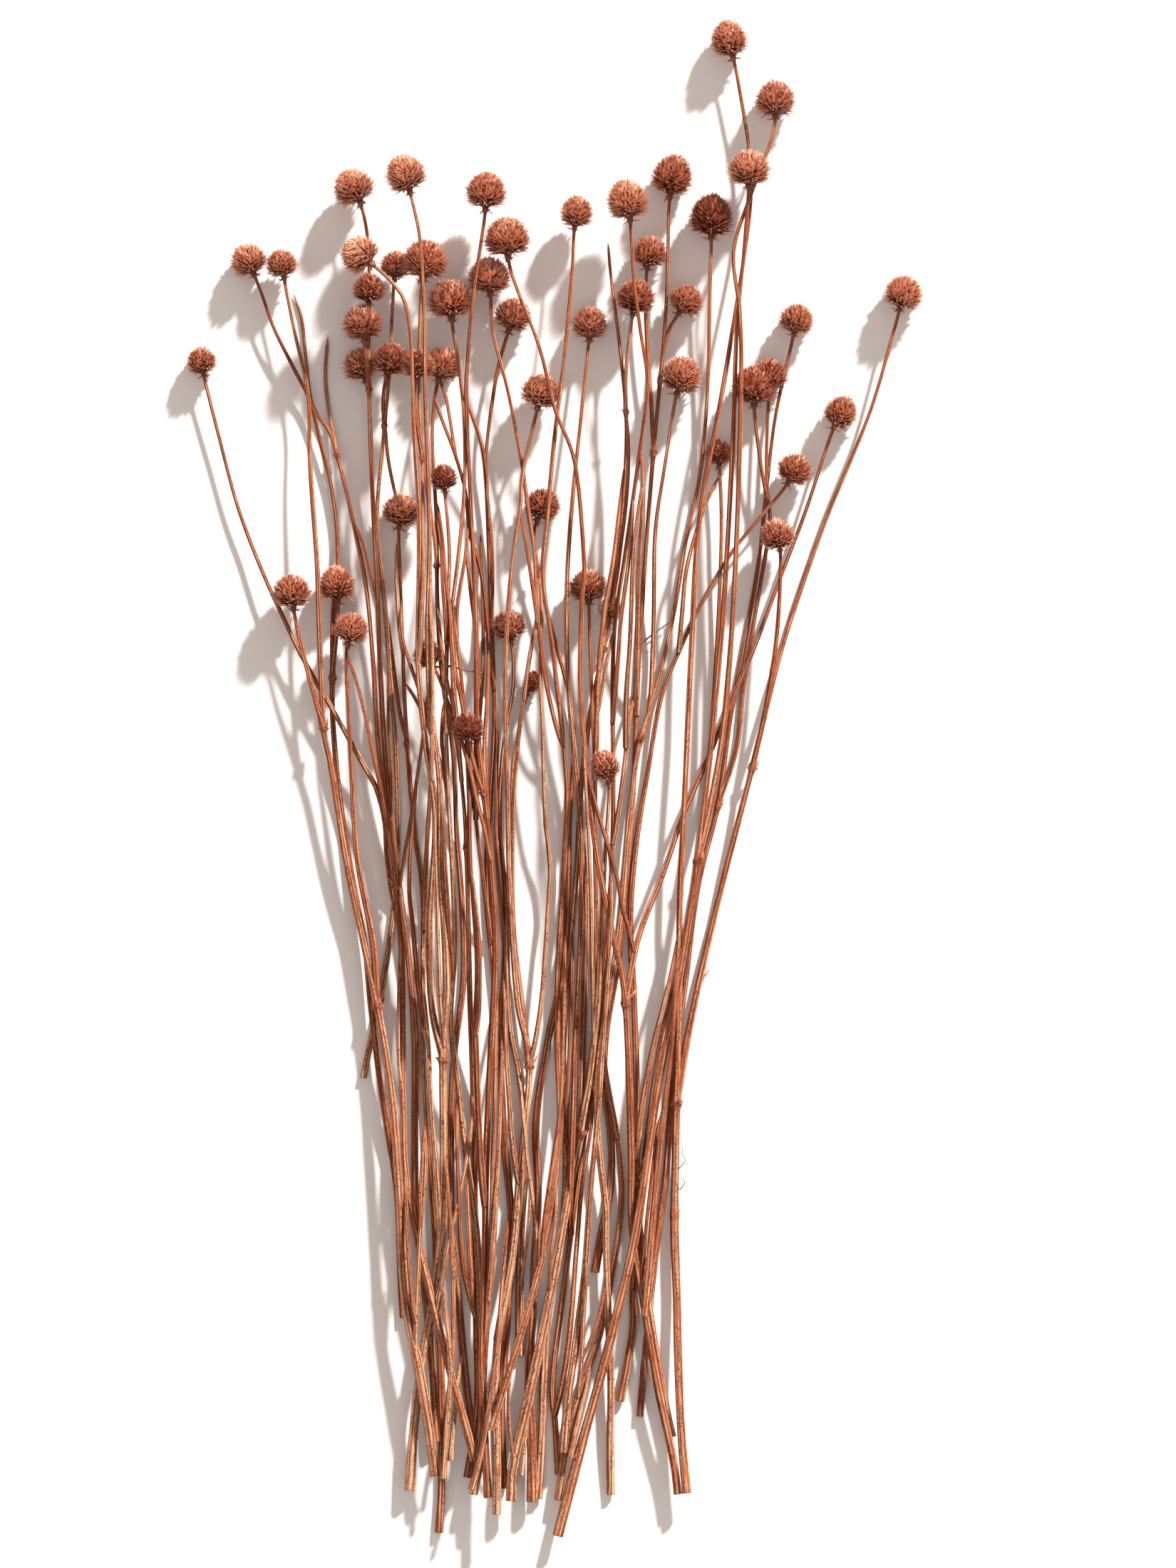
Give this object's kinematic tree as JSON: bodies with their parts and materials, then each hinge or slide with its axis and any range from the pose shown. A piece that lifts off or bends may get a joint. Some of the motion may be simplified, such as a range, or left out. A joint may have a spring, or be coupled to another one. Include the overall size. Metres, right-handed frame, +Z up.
{
  "type": "bunch of dried button-head flower stems",
  "caption": "Loose bunch of dried, ribbed, forking flower stems lying flat, with round spiky terracotta heads spread at one end and square cut feet at the other.",
  "frame": {"origin": "middle of the bunch's footprint, on the surface that it lies on", "axes": "+Y from the cut feet to the heads, +Z up from the surface, +X to the right seen from above with the heads at the top"},
  "size_m": [0.2892, 0.5998, 0.0368],
  "materials": {
    "dry_flower_stem": "matte"
  },
  "bodies": {
    "root": {"spray_01": "dry_flower_stem", "spray_02": "dry_flower_stem", "spray_03": "dry_flower_stem", "spray_04": "dry_flower_stem", "spray_05": "dry_flower_stem", "spray_06": "dry_flower_stem", "spray_07": "dry_flower_stem", "spray_08": "dry_flower_stem", "spray_09": "dry_flower_stem", "spray_10": "dry_flower_stem", "spray_11": "dry_flower_stem", "spray_12": "dry_flower_stem", "spray_13": "dry_flower_stem", "spray_14": "dry_flower_stem", "spray_15": "dry_flower_stem", "spray_16": "dry_flower_stem", "spray_17": "dry_flower_stem", "spray_18": "dry_flower_stem", "spray_19": "dry_flower_stem", "spray_20": "dry_flower_stem", "spray_21": "dry_flower_stem", "spray_22": "dry_flower_stem", "spray_23": "dry_flower_stem", "spray_24": "dry_flower_stem", "spray_25": "dry_flower_stem", "spray_26": "dry_flower_stem", "spray_27": "dry_flower_stem", "spray_28": "dry_flower_stem"}
  },
  "joints": []
}
